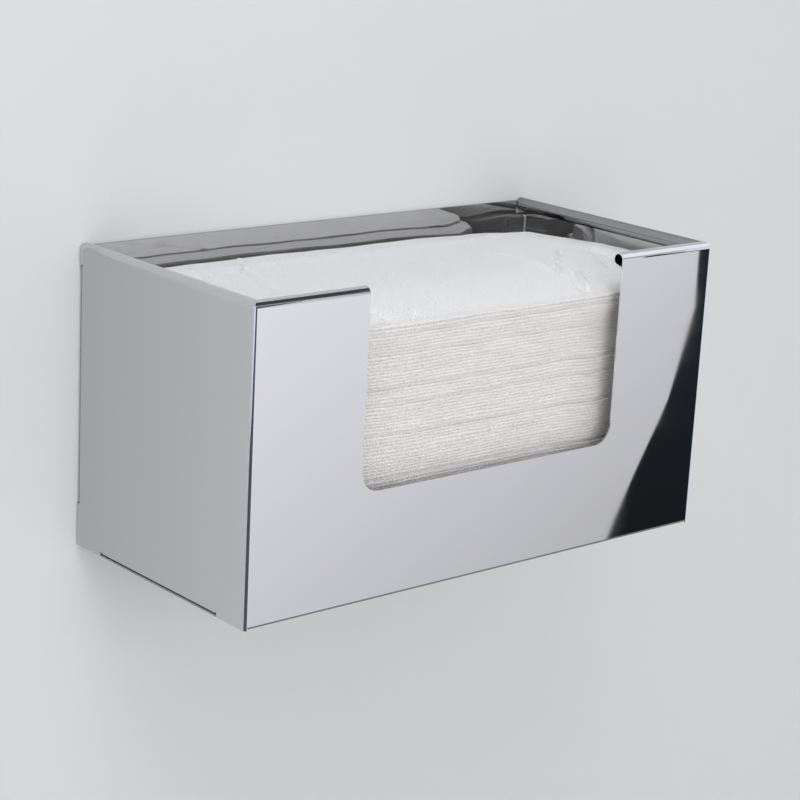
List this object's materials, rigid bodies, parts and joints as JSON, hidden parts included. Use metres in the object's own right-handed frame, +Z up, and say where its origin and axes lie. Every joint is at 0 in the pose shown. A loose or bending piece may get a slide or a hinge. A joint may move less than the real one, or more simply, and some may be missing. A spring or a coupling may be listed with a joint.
{
  "type": "paper towel dispenser",
  "caption": "Wall-mounted open-top paper towel dispenser in mirror-polished sheet steel, with rolled rims, a U-shaped front notch, a screwed back plate and a refill of folded towels.",
  "frame": {"origin": "on the back face, which lies against the wall, at the middle of the four wall screws, halfway up and halfway along the body", "axes": "+X along the front to the right as a user sees it, +Y into the wall, +Z up"},
  "size_m": [0.275, 0.1582, 0.143],
  "materials": {
    "mirror_steel": "polished",
    "screw_steel": "satin",
    "towel_paper": "matte"
  },
  "bodies": {
    "housing": {"shell": "mirror_steel", "back_plate": "mirror_steel", "wall_screws": "screw_steel"},
    "towel_stack": {"towel_pair_01": "towel_paper", "towel_pair_02": "towel_paper", "towel_pair_03": "towel_paper", "towel_pair_04": "towel_paper", "towel_pair_05": "towel_paper", "towel_pair_06": "towel_paper", "towel_pair_07": "towel_paper", "towel_pair_08": "towel_paper", "towel_pair_09": "towel_paper", "towel_pair_10": "towel_paper", "towel_pair_11": "towel_paper", "towel_pair_12": "towel_paper", "towel_pair_13": "towel_paper", "towel_pair_14": "towel_paper", "towel_pair_15": "towel_paper", "towel_pair_16": "towel_paper", "towel_pair_17": "towel_paper", "towel_pair_18": "towel_paper", "towel_pair_19": "towel_paper", "towel_pair_20": "towel_paper", "towel_pair_21": "towel_paper", "towel_pair_22": "towel_paper", "towel_pair_23": "towel_paper", "towel_pair_24": "towel_paper", "towel_pair_25": "towel_paper", "towel_pair_26": "towel_paper", "towel_pair_27": "towel_paper", "towel_pair_28": "towel_paper", "towel_pair_29": "towel_paper", "towel_pair_30": "towel_paper", "towel_pair_31": "towel_paper", "towel_pair_32": "towel_paper", "towel_pair_33": "towel_paper", "towel_pair_34": "towel_paper", "towel_pair_35": "towel_paper", "towel_pair_36": "towel_paper", "towel_pair_37": "towel_paper", "towel_pair_38": "towel_paper", "towel_pair_39": "towel_paper"},
    "top_towel": {"top_towel": "towel_paper"}
  },
  "joints": [
    {"name": "refill_lift", "type": "slide", "parent": "housing", "child": "towel_stack", "axis": [0, 0, 1], "range_m": [0, 0.16]},
    {"name": "top_towel_lift", "type": "slide", "parent": "towel_stack", "child": "top_towel", "axis": [0, 0, 1], "range_m": [0, 0.08]}
  ]
}
